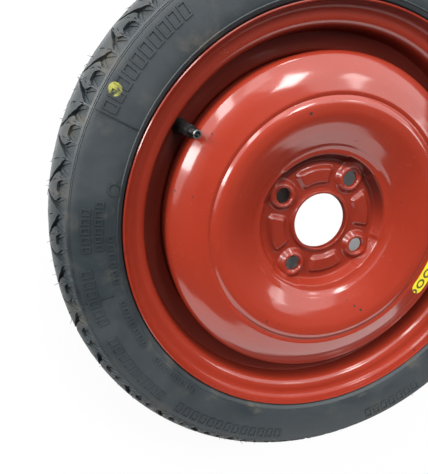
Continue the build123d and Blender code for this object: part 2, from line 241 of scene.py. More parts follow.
def rod(radius, low, high):
    """Section of a round cutter."""
    return [Vector(p) for p in ((0, low), (radius, low), (radius, high), (0, high))]


def use_up(piece, step):
    """Gives a piece the mesh that its modifier makes, and removes the modifier and the old mesh."""
    bpy.context.view_layer.update()
    evaluated = piece.evaluated_get(bpy.context.evaluated_depsgraph_get())
    mesh = bpy.data.meshes.new_from_object(evaluated)
    piece.modifiers.remove(step)
    old = piece.data
    piece.data = mesh
    bpy.data.meshes.remove(old)
    mesh.name = piece.name


def cut(piece, cutter, sharp):
    """Takes the cutter's shape out of a piece and removes the cutter."""
    step = piece.modifiers.new("cut", "BOOLEAN")
    step.operation = "DIFFERENCE"
    step.solver = "EXACT"
    step.object = cutter
    use_up(piece, step)
    bpy.data.objects.remove(cutter)
    shade(piece.data, sharp)


print("lathe ready")

# %% [markdown]
# The rim is a strip of steel rolled into a hoop. Its edges curl into flanges that hold the tyre,
# and its middle drops into a well, so that the tyre can be slipped over. The section is drawn along
# the tyre's side and given the sheet's thickness, as the roll former would do.

# %% Rim
RIM_T = 2.2
FLANGE_R = 194.7
SEAT_R = 177.4
SEAT_END_R = 176.4
WELL_R = 159.1
HALF_WIDTH = 44.45
LIP_END = 56.95
SEAT_END = 22.95
WELL_FRONT = 18.797
WELL_BACK = -9.203
RIM_BENDS = [9.5, 6.5, 3.6, 3.0, 3.0, 3.6, 6.5, 9.5]
RIM_COLUMNS = 288
RIM_SHARP = 40.0
rim_corners = [
    (FLANGE_R, LIP_END),
    (FLANGE_R, HALF_WIDTH),
    (SEAT_R, HALF_WIDTH),
    (SEAT_END_R, SEAT_END),
    (WELL_R, WELL_FRONT),
    (WELL_R, WELL_BACK),
    (SEAT_END_R, -SEAT_END),
    (SEAT_R, -HALF_WIDTH),
    (FLANGE_R, -HALF_WIDTH),
    (FLANGE_R, -LIP_END),
]
rim_line = rounded([(r, MIDDLE_Z + u) for r, u in rim_corners], RIM_BENDS)
rim_steel = lathe("rim_steel", sheet_loop(rim_line, RIM_T), RIM_COLUMNS, sharp=RIM_SHARP)
print("rim:", len(rim_line), "points in its section,", len(rim_steel.data.polygons), "faces")

# %% [markdown]
# The valve stands in a hole in the well's sloping wall. A frame of its own, with its axis along the
# valve, lets the hole, the rubber body and the thread be drawn upright and then tilted together.

# %% Valve frame and its hole in the rim
VALVE_TILT = math.radians(13.5)
VALVE_PLACE = Vector((167.00446, 0, -4.04316))
VALVE_HOLE_R = 5.75
VALVE_HOLE_ENDS = (-6.0, 4.0)
VALVE_HOLE_COLUMNS = 40
valve_up = Vector((-math.sin(VALVE_TILT), 0, math.cos(VALVE_TILT)))
valve_side = Vector((0, 1, 0))
valve_turn = Matrix((valve_side, valve_up.cross(valve_side), valve_up)).transposed()
valve_frame = Matrix.Translation(VALVE_PLACE * MM) @ valve_turn.to_4x4()
hole_section = rod(VALVE_HOLE_R, *VALVE_HOLE_ENDS)
cut(rim_steel, lathe("valve_hole", hole_section, VALVE_HOLE_COLUMNS, frame_of=valve_frame), RIM_SHARP)
print("rim with its valve hole:", len(rim_steel.data.polygons), "faces")

# %% [markdown]
# The disc is the wheel's most demanding piece: one pressing that carries the whole load from the
# bolts to the rim. Its section gives the pan, the shelf, the dish and the crest. The bosses round
# the bolts, the pads between them and the scallops in the pan's wall stand out of that section, so
# they are pushed up as a height over the turned surface, on the front and the back alike, because a
# pressing keeps its thickness.

# %% Disc section
DISC_T = 3.2
BORE_R = 28.05
COLLAR_TOP_R = 30.25
COLLAR_FOOT_R = 32.65
COLLAR_H = 6.6
COLLAR_BENDS = [0.9, 1.0]
PAN_R = 61.6
BAND_R = 156.8
BAND_END = -25.0
BAND_START = Vector((122.2, 29.6))
BAND_BEND = Vector((138.0, 25.6))
HUB_END = 59.0  # close rows of points up to here, for the bosses and pads
HUB_ROW = 0.8
BEND_STEP = 5.0
LONGEST_RUN = 3.0
BEND_RADII = [3.0, 3.0, 8.0, 8.0, 4.5, 40.0, 40.0, 20.0, 12.0, 0.8, 4.0, 50.0, 40.0, 8.0]
street_corners = [
    (COLLAR_FOOT_R, DISC_T),
    (PAN_R, DISC_T),
    (66.6, 12.2),  # top of the pan's wall
    (71.8, 13.7),  # shelf
    (75.0, 15.7),
    (77.2, 17.6),
    (88.0, 24.0),  # dish
    (96.0, 27.9),
    (104.5, 31.2),
    (114.4, 31.9),  # crest
    (119.2, 28.4),  # crease
    BAND_START,
    BAND_BEND,
    (147.5, 21.4),
    (BAND_R, 16.2),  # shoulder
    (BAND_R, BAND_END),
]
street_line = divided(rounded(street_corners, BEND_RADII, BEND_STEP), LONGEST_RUN)
back_line = [p - n * DISC_T for p, n in zip(street_line, normals(street_line))]
hub_rows = list(np.arange(COLLAR_FOOT_R + HUB_ROW, HUB_END, HUB_ROW))
collar_corners = [(BORE_R, 0.0), (BORE_R, COLLAR_H), (COLLAR_TOP_R, COLLAR_H), (COLLAR_FOOT_R, DISC_T)]
collar = rounded(collar_corners, COLLAR_BENDS)
front = collar + [Vector((r, DISC_T)) for r in hub_rows] + [p for p in street_line[1:] if p.x > HUB_END]
behind = [p for p in back_line[1:] if p.x > HUB_END][::-2] + [Vector((r, 0.0)) for r in hub_rows[::-2]]
disc_loop = front + behind
print("disc:", len(front), "rows in front,", len(behind), "behind")

# %% [markdown]
# Each height below is a smooth step across a distance: the distance from a bolt's axis for a boss,
# and from a rounded box bent round the axle for a pad. The step's width is the slope of the pressed
# wall.

# %% Bosses, pads and scallops
BOLT_R = 50.0
BOLTS = 4
BOLT_HOLE_R = 7.5
BOLT_HOLE_ENDS = (-9.0, 16.0)
BOLT_HOLE_COLUMNS = 48
BOSS_FOOT = 16.0
BOSS_TOP = 9.6
BOSS_H = 5.6
SEAT_OUT = 9.0
SEAT_IN = 7.125
SEAT_DEPTH = 2.2
PAD_MIDDLE = 46.0
PAD_HALF_R = 10.8
PAD_HALF_ANGLE = math.radians(23.5)
PAD_CORNER = 6.0
PAD_H = 4.0
PAD_SLOPE = 6.0
SCALLOP = 1.4
SCALLOP_HALF_ANGLE = math.radians(17)
SCALLOP_SIDE = math.radians(3.5)
SCALLOP_FROM, SCALLOP_RISE = 54.0, 6.0
SCALLOP_TO, SCALLOP_FALL = 74.0, 8.0


def smooth(x):
    """0 below 0, 1 above 1, and a soft rise between."""
    x = min(1.0, max(0.0, x))
    return x * x * (3 - 2 * x)


def from_nearest(angle, count, start):
    """Angle from the nearest of `count` even places round the axle."""
    step = math.tau / count
    return (angle - start + step / 2) % step - step / 2


def hub_height(r, angle):
    """How far the pressing stands out of its turned section here."""
    off = from_nearest(angle, BOLTS, 0)
    d = math.hypot(r * math.cos(off) - BOLT_R, r * math.sin(off))
    boss = BOSS_H * smooth((BOSS_FOOT - d) / (BOSS_FOOT - BOSS_TOP))
    boss -= SEAT_DEPTH * smooth((SEAT_OUT - d) / (SEAT_OUT - SEAT_IN))
    off = from_nearest(angle, BOLTS, math.pi / BOLTS)
    across = abs(r - PAD_MIDDLE) - PAD_HALF_R + PAD_CORNER
    along = (abs(off) - PAD_HALF_ANGLE) * r + PAD_CORNER
    edge = math.hypot(max(across, 0), max(along, 0)) + min(max(across, along), 0) - PAD_CORNER
    pad = PAD_H * smooth(-edge / PAD_SLOPE)
    return boss + pad


def scallop(r, angle):
    """How far the pan's wall is set back beside a bolt, to let the wrench in."""
    off = abs(from_nearest(angle, BOLTS, 0))
    round_bolt = smooth((SCALLOP_HALF_ANGLE - off) / SCALLOP_SIDE)
    near_wall = smooth((r - SCALLOP_FROM) / SCALLOP_RISE) * smooth((SCALLOP_TO - r) / SCALLOP_FALL)
    return SCALLOP * round_bolt * near_wall


deepest = max(scallop(r, 0) for r in (60.0, 62.0, 64.0))
boss_high = hub_height(BOLT_R - BOSS_TOP, 0)
print("hub: boss", round(boss_high, 2), "mm high, scallop", round(deepest, 2), "mm deep")

# %% [markdown]
# The heights are added while the section is carried round, in one grid of points: rows follow the
# section and columns go round the axle. The bolt holes come last and are drilled, so that their edges
# stay crisp whatever the grid is.

# %% Disc
DISC_COLUMNS = 360
DISC_SHARP = 50.0
vertices = []
for c in range(DISC_COLUMNS):
    angle = math.tau * c / DISC_COLUMNS
    for p in disc_loop:
        lift = hub_height(p.x, angle) if p.x > COLLAR_FOOT_R - HUB_ROW / 2 else 0.0
        vertices.append(at(p.x + scallop(p.x, angle), angle, p.y + lift))
disc_faces = ring_faces(len(disc_loop), DISC_COLUMNS)
disc_steel = finish_mesh("disc_steel", vertices, disc_faces, sharp=DISC_SHARP)
for b in range(BOLTS):
    bolt_place = Matrix.Translation(Vector(at(BOLT_R, math.tau * b / BOLTS, 0)) * MM)
    drill = rod(BOLT_HOLE_R, *BOLT_HOLE_ENDS)
    cut(disc_steel, lathe("bolt_hole", drill, BOLT_HOLE_COLUMNS, frame_of=bolt_place), DISC_SHARP)
print("disc:", len(disc_steel.data.polygons), "faces")

# %% [markdown]
# The tyre's shoulder repeats the same pitch all round: three teeth, a long and a short groove that
# lean towards each other, and a blind notch between them. Only one pitch is drawn. Its columns of
# points follow the grooves and the zigzag, so the edges stay crisp with few faces, and Geometry
# Nodes then carry the strip round the wheel.

# %% Tyre section
TYRE_PROFILE = [
    (256.0, 0), (255.9, 10), (255.5, 20), (254.7, 30), (253.3, 40), (251.9, 45.5), (249.4, 49.8),
    (245.8, 53.6), (241.5, 57.2), (238.0, 60.2), (234.0, 61.7), (229.0, 62.4), (218.0, 62.6),
    (207.0, 62.2), (201.8, 61.2), (198.8, 59.9), (196.7, 58.0), (195.5, 56.2), (194.9, 54.2),
]
LINING = [
    (194.85, 53.8), (192.07, 47.08), (185.35, 44.3), (183.75, 44.3), (179.15, 42.4), (177.25, 37.8),
    (176.9, 30.45), (186.0, 30.45), (203.75, 56.05), (230.0, 56.05), (245.5, 36.5), (245.5, 0.0),
]
SHOULDER_FOOT_R = 241.5


def smooth_line(points, per_span=16):
    """A Catmull-Rom line through the points."""
    p = [Vector(points[0]) * 2 - Vector(points[1])] + [Vector(q) for q in points]
    p.append(p[-1] * 2 - p[-2])
    out = []
    for a, b, c, d in zip(p, p[1:], p[2:], p[3:]):
        for k in range(per_span):
            t = k / per_span
            bend = (2 * a - 5 * b + 4 * c - d) * t * t
            twist = (3 * b - a - 3 * c + d) * t**3
            out.append(0.5 * (2 * b + (c - a) * t + bend + twist))
    out.append(Vector(points[-1]))
    return out


fine_profile = smooth_line(TYRE_PROFILE)
mirrored_start = [Vector((p.x, -p.y)) for p in fine_profile[1:3]][::-1]
fine_normals = normals(mirrored_start + fine_profile)[2:]
lengths = [0.0]
for a, b in zip(fine_profile, fine_profile[1:]):
    lengths.append(lengths[-1] + (b - a).length)
wall_r = [p.x for p in fine_profile[::-1]]
shoulder_foot = float(np.interp(SHOULDER_FOOT_R, wall_r, lengths[::-1]))


def along_profile(v, vectors):
    """The vector at a length v, between the nearest two of a list that goes with the profile's points."""
    s = v + shoulder_foot
    return Vector([np.interp(s, lengths, [u[k] for u in vectors]) for k in range(2)])


def on_profile(v):
    """Place and outward normal at a length v, counted from the shoulder's foot towards the bead."""
    return along_profile(v, fine_profile), -along_profile(v, fine_normals).normalized()


print("tyre section:", round(lengths[-1], 1), "mm, shoulder's foot at", round(shoulder_foot, 1))

# %% [markdown]
# The tables below say where each groove runs across the pitch, how wide it opens and how deep it is.
# v is the length along the section from the shoulder's foot: negative towards the crown, positive
# down the sidewall. Places and widths are shares of one pitch. A table is easy to measure from a
# tyre and to correct by one number.

# %% Tables of one pitch
PITCHES = 35
PITCH_START = math.radians(8.33)
pitch_angle = math.tau / PITCHES
WALL = 0.010  # steep side of a block, as a share of the pitch
SIPE = 0.011  # half width of a slit, as a share of the pitch
SIPE_DEPTH = 0.9
SIPE_RAMP = 0.2
SIPE_ROOM = 1.2 * SIPE
NOTCH_START = -7.55
gap_middle = {
    "long": [(-46, 0.42), (-31, 0.38), (-17.3, 0.28), (-10.8, 0.10), (-6.3, 0.0)],
    "notch": [(-46, 0.46), (-31, 0.44), (-17.3, 0.41), (-10.8, 0.37), (-7.6, 0.36)],
    "short": [(-46, 0.52), (-26, 0.51), (-17.3, 0.545), (-10.8, 0.63), (-7.0, 0.67)],
}
block_half = {
    "long": [(-60, 0.026), (-17.3, 0.030), (-10.8, 0.036), (-7.8, 0.050), (-3.2, 0.162)],
    "notch": [(-7.8, 0.012), (-7.6, 0.070), (-3.2, 0.145)],
    "short": [(-27, 0.012), (-24, 0.024), (-15.8, 0.026), (-10.8, 0.030), (-7.8, 0.042), (-3.2, 0.140)],
}
spur_half = [(-60, 0.001), (-7.0, 0.004), (-6.6, 0.022), (2.7, 0.122)]
groove_floor = {
    "long": [(-47.6, 0.0), (-47.0, 5.0), (-17.3, 4.6), (-10.8, 3.8), (-7.8, 3.0)],
    "notch": [(-7.85, 0.0), (NOTCH_START, 2.6)],
    "short": [(-27, 0.0), (-24, 4.0), (-10.8, 3.6), (-7.8, 3.0)],
}
spur_floor = [(NOTCH_START, 2.6), (-6.3, 1.9), (-3.2, 1.25), (2.7, 0.15), (3.2, 0.0)]
facet_floor = [(NOTCH_START, 3.0), (-6.8, 3.0), (-3.2, 2.2), (0.2, 1.2), (2.7, 0.4), (3.4, 0.0)]
crown_groove = [(-47.6, 0.0), (-47.0, 5.0), (-42.2, 5.0), (-41.6, 0.0)]


def slit(start, end):
    """Depth table of a slit between two lengths."""
    return [(start, 0), (start + SIPE_RAMP, SIPE_DEPTH), (end - SIPE_RAMP, SIPE_DEPTH), (end, 0)]


sipe_depth = {
    "first": slit(-12.6, -10.2) + slit(-6.4, -3.8),
    "last": slit(-18.0, -10.8) + slit(-6.4, -3.8),
}


def table(pairs, v):
    """Value at v in a table of (length, value)."""
    return float(np.interp(v, [p[0] for p in pairs], [p[1] for p in pairs]))


print("deepest groove:", max(depth for pairs in groove_floor.values() for _, depth in pairs), "mm")

# %% [markdown]
# A groove could be cut into a smooth ring with Booleans, but a hundred cuts are slow and leave ragged
# faces. Here a function gives every column of points its share of the pitch and its depth, so the
# points lie on the edges from the start. A slit always keeps a little room beside the next groove,
# or the columns would fold over each other.


# %% Columns of one pitch
def pitch_columns(v):
    """(share of the pitch, depth) of every column of points at length v."""
    middle = {name: table(pairs, v) for name, pairs in gap_middle.items()}
    tips = [
        (middle["short"] - 1 + middle["long"]) / 2,
        (middle["long"] + middle["notch"]) / 2,
        (middle["notch"] + middle["short"]) / 2,
        (middle["short"] + 1 + middle["long"]) / 2,
    ]
    ring = table(crown_groove, v)
    columns = []

    def sipe(tip, name, sides):
        deep = table(sipe_depth[name], v)
        for side in sides:
            columns.append((tip + side * SIPE, max(ring, deep if side == 0 else 0.0)))

    sipe(tips[0], "last", (0, 1))
    for k, name in enumerate(("long", "notch", "short")):
        room = min(middle[name] - tips[k], tips[k + 1] - middle[name])
        half = min(table(block_half[name], v), room - WALL - SIPE_ROOM)
        spur = min(table(spur_half, v), half - 1.4 * WALL if half > 2 * WALL else half * 0.3)
        inner = min(WALL, (half - spur) * 0.5)
        floor = table(groove_floor[name], v)
        low = floor if v < NOTCH_START else table(spur_floor, v)
        deep = floor if v < NOTCH_START else table(facet_floor, v)
        section = ((half + WALL, 0), (half, low), (spur + inner, low), (spur, deep))
        columns += [(middle[name] - offset, max(ring, depth)) for offset, depth in section]
        columns += [(middle[name] + offset, max(ring, depth)) for offset, depth in section[::-1]]
        last = k == 2
        sipe(tips[k + 1], "last" if last else "first", (-1, 0) if last else (-1, 0, 1))
    return columns


print("pitch:", len(pitch_columns(0.0)), "columns")

# %% [markdown]
# Rows of points are close together where the tread is busy and wide apart on the plain sidewall.
# There the strip also drops to a third of its columns, with six-sided faces along the change. The
# two fine rings above the sidewall are left by the mould's joint, and a thin rib near the bead shows
# the fitter that the tyre sits evenly on the rim.

# %% Strip for one pitch
TREAD_ROWS = [
    -57, -50, -47.6, -47.0, -42.2, -41.6, -37.0, -31, -27, -24, -20.5, -18, -17.3, -14, -12.5, -10.8,
    -9.3, -7.85, -7.55, -7.0, -6.3, -5.2, -4.1, -3.2, -2.6, -0.8, 1.2, 2.7, 3.4,
]
BACK_TREAD_ROWS = [
    -50, -47.6, -47.0, -42.2, -41.6, -34, -27, -24, -17.3, -10.8, -7.85, -7.55, -6.6, -5.2, -3.2, -2.6,
    0.2, 2.7, 3.4,
]
MOULD_RINGS = [(5.3, 0), (5.55, 0.4), (5.8, 0), (6.6, 0), (6.85, 0.4), (7.1, 0)]
SIDEWALL_ROWS = [8.5, 11, 14, 18, 23, 28, 33, 37, 40, 42, 43.0]
BEAD_RIB = [(43.5, 0), (43.9, 0.8), (44.5, 0.8), (44.9, 0), (46.6, 0), (48.2, 0)]
PLAIN_FROM = 4.0  # past this length the wall has no grooves
COARSE = 3


def strip_rows():
    """Every row of the strip: its place, outward normal, ring height, whether it is dense, and its length."""
    rows = []
    for side, tread in ((1, TREAD_ROWS), (-1, BACK_TREAD_ROWS)):
        half = [(v, 0.0, True) for v in tread]
        plain = MOULD_RINGS + [(v, 0.0) for v in SIDEWALL_ROWS] + BEAD_RIB
        half += [(v, rise, False) for v, rise in plain]
        made = []
        for v, rise, dense in half:
            place, out = on_profile(v)
            made.append((Vector((place.x, side * place.y)), Vector((out.x, side * out.y)), rise, dense, v))
        for r, u in LINING[:-1]:
            made.append((Vector((r, side * u)), Vector((0, 0)), 0.0, False, None))
        rows.append(made)
    top = (Vector((LINING[-1][0], 0)), Vector((0, 0)), 0.0, False, None)
    return rows[0] + [top] + rows[1][::-1]


plain_columns = [(share, 0.0) for share, _ in pitch_columns(PLAIN_FROM)][::COARSE]
strip_vertices, strip_faces, row_indices = [], [], []
for place, out, rise, dense, v in strip_rows():
    row = []
    for share, depth in pitch_columns(v) if dense else plain_columns:
        p = place + out * (rise - depth)
        row.append(len(strip_vertices))
        strip_vertices.append(at(p.x, PITCH_START + share * pitch_angle, p.y + MIDDLE_Z))
    row_indices.append(row)
for a, b in zip(row_indices, row_indices[1:] + row_indices[:1]):
    if len(a) == len(b):
        strip_faces += [(a[k], a[k + 1], b[k + 1], b[k]) for k in range(len(a) - 1)]
    else:
        many, few = (a, b) if len(a) > len(b) else (b, a)
        for k in range(len(few) - 1):
            strip_faces.append((*many[k * COARSE:k * COARSE + COARSE + 1], few[k + 1], few[k]))
print("strip:", len(strip_vertices), "points,", len(strip_faces), "faces")

# %% [markdown]
# The tree takes a drawn piece and repeats it round the axle. A set of points gives one point for
# each repeat, and each copy is turned one step further. Realize Instances makes real geometry of
# the copies, and Merge by Distance sews neighbouring strips together. An Array modifier could repeat
# the strip too, but the tree shows its inputs by name and serves other pieces as well.


# %% Geometry Nodes: repeat round the axle
def tree_node(tree, kind, inputs, out=0, **settings):
    """Adds a node with its settings and the values or links of its inputs, and returns one output."""
    node = tree.nodes.new(kind)
    for key, value in settings.items():
        setattr(node, key, value)
    for key, value in inputs.items():
        if isinstance(value, bpy.types.NodeSocket):
            tree.links.new(value, node.inputs[key])
        else:
            node.inputs[key].default_value = value
    return None if out is None else node.outputs[out]


def new_tree(name, **kinds):
    """A tree with a mesh in and out, the named inputs and a material, and the outputs of its input node."""
    tree = bpy.data.node_groups.new(name, "GeometryNodeTree")
    for socket, kind in {"Geometry": "Geometry", **kinds, "Material": "Material"}.items():
        tree.interface.new_socket(socket, in_out="INPUT", socket_type="NodeSocket" + kind)
    tree.interface.new_socket("Geometry", in_out="OUTPUT", socket_type="NodeSocketGeometry")
    return tree, tree.nodes.new("NodeGroupInput").outputs


def end_tree(tree, geometry, material):
    """Last nodes of a tree: its material and its output."""
    dressed = tree_node(tree, "GeometryNodeSetMaterial", {"Geometry": geometry, "Material": material})
    tree_node(tree, "NodeGroupOutput", {0: dressed}, None)


def repeat_tree(name):
    """Tree with the inputs Count, Step and Join that repeats the object's own mesh round +Z."""
    tree, given = new_tree(name, Count="Int", Step="Float", Join="Float")
    points = tree_node(tree, "GeometryNodePoints", {"Count": given["Count"]})
    index = tree_node(tree, "GeometryNodeInputIndex", {})
    angle = tree_node(tree, "ShaderNodeMath", {0: index, 1: given["Step"]}, operation="MULTIPLY")
    spin = tree_node(tree, "ShaderNodeCombineXYZ", {"Z": angle})
    each = {"Points": points, "Instance": given["Geometry"], "Rotation": spin}
    copies = tree_node(tree, "GeometryNodeInstanceOnPoints", each)
    real = tree_node(tree, "GeometryNodeRealizeInstances", {0: copies})
    sewn = tree_node(tree, "GeometryNodeMergeByDistance", {"Geometry": real, "Distance": given["Join"]})
    end_tree(tree, sewn, given["Material"])
    return tree


def run_tree(piece, tree, **values):
    """Sets the tree's inputs by their identifiers and turns the result into a plain mesh."""
    step = piece.modifiers.new("tree", "NODES")
    step.node_group = tree
    for item in tree.interface.items_tree:
        if item.in_out == "INPUT" and item.name in values:
            step[item.identifier] = values[item.name]
    use_up(piece, step)
    return piece


repeat_round = repeat_tree("repeat_round_axle")
print("tree:", len(repeat_round.nodes), "nodes")

# %% [markdown]
# Shader maths reads best as plain sums. A small class wraps a socket, so that adding or multiplying
# two of them adds the Math node that does it. The same nodes could be placed by hand in the editor,
# but a formula can be read and changed in one line.


# %% Materials as expressions
def joined_by(operation, swapped=False):
    """Operator that joins two values by a Math node; swapped is for a plain number on the left."""
    def operator(self, other):
        return self.math(operation, *((other, self) if swapped else (self, other)))
    return operator


class Value:
    """A number in a material; sums and products of values add their Math nodes."""

    def __init__(self, finish, socket):
        self.finish, self.socket = finish, socket

    def math(self, operation, a, b=0.0):
        return self.finish.add("ShaderNodeMath", {"operation": operation}, {0: a, 1: b})

    __add__, __radd__ = joined_by("ADD"), joined_by("ADD", True)
    __sub__, __rsub__ = joined_by("SUBTRACT"), joined_by("SUBTRACT", True)
    __mul__, __rmul__ = joined_by("MULTIPLY"), joined_by("MULTIPLY", True)
    __pow__ = joined_by("POWER")

    def abs(self):
        return self.math("ABSOLUTE", self)

    def step(self, low, high):
        """0 at low, 1 at high, soft between; low may be the larger."""
        settings = {"interpolation_type": "SMOOTHSTEP", "clamp": True}
        return self.finish.add("ShaderNodeMapRange", settings, {0: self, 1: low, 2: high, 3: 0.0, 4: 1.0})


class Finish:
    """A material with one Principled shader and a method that adds any other node."""

    def __init__(self, name, **constants):
        self.material = bpy.data.materials.new(name)
        self.material.use_nodes = True
        self.tree = self.material.node_tree
        self.shader = self.tree.nodes["Principled BSDF"]
        for key, value in constants.items():
            self.shader.inputs[key.replace("_", " ")].default_value = value
        self.place = self.add("ShaderNodeTexCoord", {}, {}, "Object")

    def add(self, kind, settings, inputs, out=0):
        """Adds a node with its settings and the values or links of its sockets."""
        sockets = {key: value.socket if isinstance(value, Value) else value for key, value in inputs.items()}
        return Value(self, tree_node(self.tree, kind, sockets, out, **settings))

    def noise(self, scale, detail=2.0, roughness=0.5, place=None, distortion=0.0):
        inputs = {"Vector": place or self.place, "Scale": scale, "Detail": detail}
        inputs.update({"Roughness": roughness, "Distortion": distortion})
        return self.add("ShaderNodeTexNoise", {}, inputs)

    def cells(self, scale):
        return self.add("ShaderNodeTexVoronoi", {}, {"Vector": self.place, "Scale": scale}, "Distance")

    def parts(self):
        """x, y and z of the place in metres."""
        return [self.add("ShaderNodeSeparateXYZ", {}, {0: self.place}, k) for k in range(3)]

    def polar(self):
        """Radius from the axle in millimetres, angle in degrees from the valve, and height in millimetres."""
        x, y, z = self.parts()
        radius = (x * x + y * y) ** 0.5
        angle = x.math("ARCTAN2", y, x) * math.degrees(1)
        return radius * 1000.0, angle, z * 1000.0

    def mix(self, a, b, amount):
        """Colour a with an amount of colour b."""
        return self.add("ShaderNodeMix", {"data_type": "RGBA"}, {0: amount, 6: a, 7: b}, 2)

    def set(self, **values):
        for key, value in values.items():
            self.tree.links.new(value.socket, self.shader.inputs[key.replace("_", " ")])

    def bump(self, height, distance):
        self.set(Normal=self.add("ShaderNodeBump", {}, {"Height": height, "Distance": distance}))


print("shader helper ready")

# %% [markdown]
# The paint is an orange-red gloss enamel, sprayed thick enough to fill the steel's grain. Years in a
# boot have left pale dust, fine scratches and a few chips along the edges that show dark primer. The
# colour is mixed in layers: paint, dust, painted shade in the rim's trough, in the pan and at the foot
# of the pan's wall, with a painted shadow on one side of that foot, and chips on top. The whole rim is
# also a little darker than the disc, as painted shade. The clear coat gives the sharp reflections and
# is thinner in the shaded places and in the flange's corner.

# %% Paint
# radius, angle and size of the larger chips
KNOCKS = (
    (108.4, -39.5, 1.5), (86.6, 142.9, 1.0), (93.8, 145.5, 1.2),
    (100.1, 147.9, 1.5), (109.9, 88.6, 0.9), (107.4, 95.7, 0.9),
)
paint = Finish("red_enamel", IOR=1.5, Specular_IOR_Level=0.12, Coat_Roughness=0.11, Coat_IOR=1.5)
radius, angle, height = paint.polar()
cloud = paint.noise(9.0, 3.0)
fine = paint.noise(160.0, 4.0, 0.6)
dust = paint.cells(330.0).step(0.16, 0.08) * paint.noise(70.0, 2.0).step(0.50, 0.72)
body = paint.mix((0.222, 0.0200, 0.0088, 1), (0.250, 0.0240, 0.0108, 1), cloud.step(0.3, 0.7))
body = paint.mix(body, (0.42, 0.20, 0.16, 1), dust * 0.5)
# painted shade: the rim's trough is darkened in the base colour
trough = radius.step(151.5, 156.0) * radius.step(180.0, 173.5) * height.step(16.0, 3.0)
# painted shade: the foot of the pan's wall is darkened as well
foot = (radius - 62.8).abs().step(6.6, 3.6) * height.step(16.0, 11.0)  # foot of the pan's wall
# painted shadow: one side of that foot is darker, where the pan's wall casts its shadow
shadowed_side = (angle + 70.0).abs().step(88.0, 45.0)
flange_corner = (radius - 187.5).abs().step(6.5, 3.5) * height.step(26.0, 22.0)
# painted shade: the pan is darkened
pan = radius.step(60.0, 55.0) * height.step(10.0, 7.5)
# painted shade: the whole rim is made a little darker than the disc
hoop = radius.step(158.0, 163.0)
# all the painted shade, mixed into the base colour as a dark red
painted_shade = trough * 0.54 + foot * (0.10 + 0.64 * shadowed_side) + 0.26 * pan + 0.08 * hoop
body = paint.mix(body, (0.022, 0.0050, 0.0045, 1), painted_shade)
chip_noise = paint.noise(210.0, 3.0, 0.55)
edge_zone = (radius - 192.6).abs().step(3.2, 0.6) * height.step(24.0, 28.0)
chips = (chip_noise - 0.07 * edge_zone).step(0.262, 0.247)
x, y, _ = paint.parts()
for spot_r, spot_angle, spot_size in KNOCKS:
    spot_x, spot_y, _ = at(spot_r, math.radians(spot_angle), 0)
    away = ((x * 1000.0 - spot_x) ** 2.0 + (y * 1000.0 - spot_y) ** 2.0) ** 0.5
    chips = chips.math("MAXIMUM", chips, (away + 3.0 * chip_noise).step(spot_size + 1.7, spot_size + 1.2))
body = paint.mix(body, (0.035, 0.022, 0.02, 1), chips)
paint.set(Base_Color=body)
paint.set(Roughness=0.34 + 0.12 * fine.step(0.35, 0.75) + 0.3 * dust + 0.2 * chips)
dull = (1.0 - 0.8 * trough) * (1.0 - 0.85 * foot) * (1.0 - 0.7 * flange_corner) * (1.0 - 0.35 * pan)
paint.set(Coat_Weight=(0.95 - 0.8 * chips) * dull)
round_axle = paint.add("ShaderNodeCombineXYZ", {}, {0: radius * 1.1, 1: angle * 0.09, 2: height * 1.1})
rubbed = paint.noise(1.0, 3.0, 0.65, place=round_axle)
paint.bump(paint.noise(420.0, 2.0) * 0.35 + 0.45 * rubbed + 0.5 * dust - chips, 0.00012)
print("paint:", len(paint.tree.nodes), "nodes")

# %% [markdown]
# Tyre rubber is never plain black: it is a cool grey with a dull sheen, browned by road dirt that
# settles in the tread and in patches on the wall, and a round yellow paint mark shows where the
# tyre is lightest. Noise at three scales gives the grain, the dirt and the smears of handling.

# %% Tyre rubber
DOT_ANGLE = 1.7
DOT_R = 228.7
rubber = Finish("tyre_rubber", IOR=1.45, Specular_IOR_Level=0.45)
radius, angle, height = rubber.polar()
grain = rubber.noise(520.0, 3.0, 0.6)
smear = rubber.noise(16.0, 4.0, 0.6, distortion=0.6)
patch = rubber.noise(34.0, 5.0, 0.65)
base = rubber.mix((0.0150, 0.0205, 0.0235, 1), (0.0275, 0.0345, 0.0385, 1), smear.step(0.3, 0.72))
shoulder = radius.step(232.0, 241.0) * radius.step(252.5, 247.0)
wall_low = radius.step(214.0, 200.0)
dirt = patch.step(0.52, 0.74) * (0.35 + 0.5 * wall_low) + shoulder * patch.step(0.44, 0.66) * 0.34
rubber_colour = rubber.mix(base, (0.072, 0.065, 0.052, 1), dirt)
dot_x = (angle - DOT_ANGLE) * (DOT_R * math.radians(1))
dot_y = radius - DOT_R
dot = ((dot_x * dot_x + dot_y * dot_y) ** 0.5).step(5.6, 4.6) * rubber.noise(240.0, 3.0).step(0.34, 0.6)
dot = dot * height.step(20.0, 25.0)
rubber_colour = rubber.mix(rubber_colour, (0.36, 0.35, 0.06, 1), dot * 0.75)
rubber.set(Base_Color=rubber_colour)
rubber.set(Roughness=0.44 + 0.16 * smear.step(0.35, 0.7) + 0.25 * dirt - 0.06 * shoulder)
rubber.bump(grain * 0.6 + 0.4 * patch, 0.00018)
print("tyre rubber:", len(rubber.tree.nodes), "nodes")

# %% [markdown]
# The tyre is one moulded ring of rubber. A tread repeats, so the tree sews thirty-five copies of the
# one strip into a ring. Sewing leaves no edge open, which the last line counts, and only edges with
# a clear kink stay sharp.

